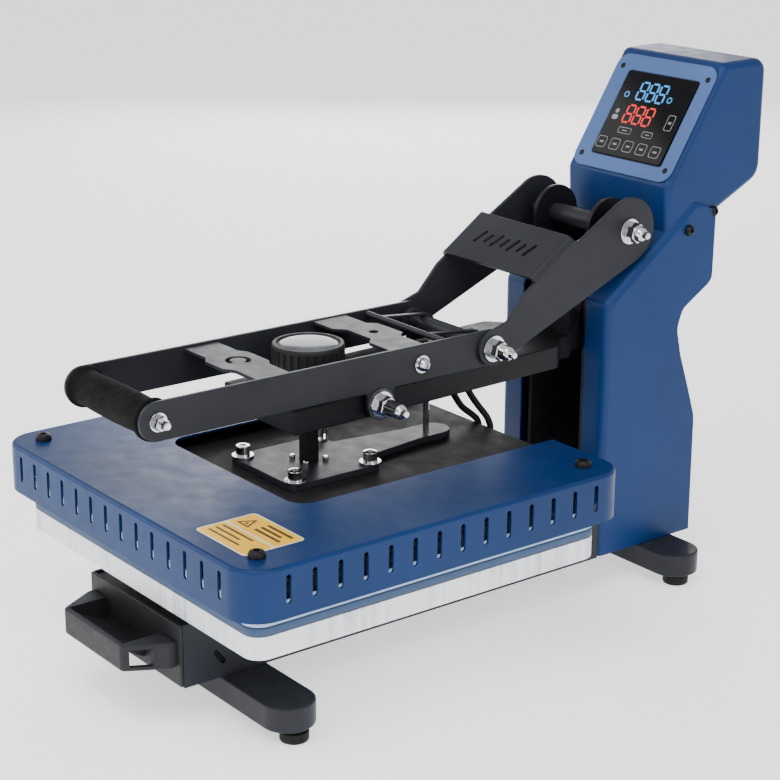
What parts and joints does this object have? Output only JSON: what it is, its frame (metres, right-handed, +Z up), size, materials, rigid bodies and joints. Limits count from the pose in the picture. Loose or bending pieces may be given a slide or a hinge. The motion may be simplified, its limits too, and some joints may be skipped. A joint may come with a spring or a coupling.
{
  "type": "heat press",
  "caption": "Clamshell heat press with a lever handle, slotted heater cover, pressure knob, control head and pull-out lower platen.",
  "frame": {"origin": "on the floor, under the middle of the bounding box", "axes": "+X to the operator's right, -Y towards the operator, +Y towards the column, +Z up"},
  "size_m": [0.4154, 0.744, 0.5188],
  "materials": {
    "blue_cover": "satin blue powder coat on folded sheet steel",
    "pale_blue_panel": "satin lighter blue panel",
    "charcoal_steel": "fine-textured charcoal powder coat",
    "black_steel": "satin black powder coat",
    "charcoal_plastic": "moulded charcoal plastic with a fine texture",
    "black_rubber": "matt black rubber",
    "black_plastic": "matt black plastic",
    "foam_grip": "dense black foam rubber",
    "bright_plating": "bright plated steel",
    "platen_aluminium": "milled aluminium with sawn edges",
    "silicone_pad": "blue-grey silicone",
    "display_glass": "black glass",
    "clear_cap": "clear plastic over brushed grey",
    "switch_red": "red plastic"
  },
  "bodies": {
    "stand": {"base_front_beam": "charcoal_steel", "base_rear_beam": "charcoal_steel", "foot_front_left": "black_rubber", "foot_front_right": "black_rubber", "foot_rear_left": "black_rubber", "foot_rear_right": "black_rubber", "base_channel": "charcoal_steel", "column_shell_left": "blue_cover", "column_shell_right": "blue_cover", "column_back_cover": "blue_cover", "column_frame_left": "black_steel", "column_frame_right": "black_steel", "main_shaft": "bright_plating", "arm_shaft": "bright_plating", "head_shell": "blue_cover", "head_bezel": "pale_blue_panel", "display_glass": "display_glass", "power_inlet": "black_plastic", "switch_housing": "black_plastic"},
    "rocker": {"switch_rocker": "switch_red"},
    "arm": {"arm_beam": "black_steel", "arm_neck": "black_steel", "arm_pin": "bright_plating", "rest_tube": "black_steel", "rest_strap": "black_steel"},
    "heater": {"heater_cover": "blue_cover", "heater_top_plate": "black_steel", "heat_platen": "platen_aluminium", "mount_plate": "charcoal_steel", "pressure_post": "black_steel", "guide_rod": "bright_plating", "mount_bolt_front_left": "bright_plating", "mount_bolt_front_right": "bright_plating", "mount_bolt_rear_left": "bright_plating", "mount_bolt_rear_right": "bright_plating", "cover_screw_front_left": "black_rubber", "cover_screw_front_right": "black_rubber", "cover_screw_rear_left": "black_rubber", "cover_screw_rear_right": "black_rubber", "heater_cable_left": "black_rubber", "heater_cable_right": "black_rubber"},
    "knob": {"pressure_knob": "charcoal_plastic", "knob_cap": "clear_cap"},
    "handle": {"handle_bar_left": "charcoal_steel", "handle_bar_right": "charcoal_steel", "front_cross_plate": "charcoal_steel", "rear_cross_plate": "charcoal_steel", "handle_grip": "foam_grip", "grip_rod": "bright_plating", "bar_bolt_left": "bright_plating", "bar_bolt_right": "bright_plating"},
    "yoke": {"yoke": "charcoal_steel", "link_bolt_left": "bright_plating", "link_bolt_right": "bright_plating"},
    "drawer": {"drawer_front": "charcoal_plastic", "drawer_pull": "charcoal_plastic", "drawer_carriage": "black_steel", "lower_platen": "platen_aluminium", "silicone_pad": "silicone_pad"}
  },
  "joints": [
    {"name": "arm_lift", "type": "hinge", "parent": "stand", "child": "arm", "pos_m": [0, 0.196, 0.303], "axis": [-1, 0, 0], "range_deg": [0, 35]},
    {"name": "handle_swing", "type": "hinge", "parent": "arm", "child": "handle", "pos_m": [0, -0.105, 0.248], "axis": [-1, 0, 0], "range_deg": [0, 28]},
    {"name": "yoke_swing", "type": "hinge", "parent": "stand", "child": "yoke", "pos_m": [0, 0.194, 0.366], "axis": [-1, 0, 0], "range_deg": [0, 20]},
    {"name": "heater_height", "type": "slide", "parent": "arm", "child": "heater", "axis": [0, 0, 1], "range_m": [0, 0.004]},
    {"name": "knob_turn", "type": "hinge", "parent": "arm", "child": "knob", "pos_m": [0, -0.139, 0.262], "axis": [0, 0, 1], "range_deg": [0, 740]},
    {"name": "drawer_pull_out", "type": "slide", "parent": "stand", "child": "drawer", "axis": [0, -1, 0], "range_m": [0, 0.26]},
    {"name": "switch_rock", "type": "hinge", "parent": "stand", "child": "rocker", "pos_m": [0.026, 0.2946, 0.083], "axis": [1, 0, 0], "range_deg": [0, 12]}
  ],
  "couplings": [
    {"joint": "handle_swing", "follows": "arm_lift", "ratio": 0.75864},
    {"joint": "yoke_swing", "follows": "arm_lift", "ratio": 0.48495},
    {"joint": "knob_turn", "follows": "heater_height", "rad_per_m": 3141.6}
  ]
}
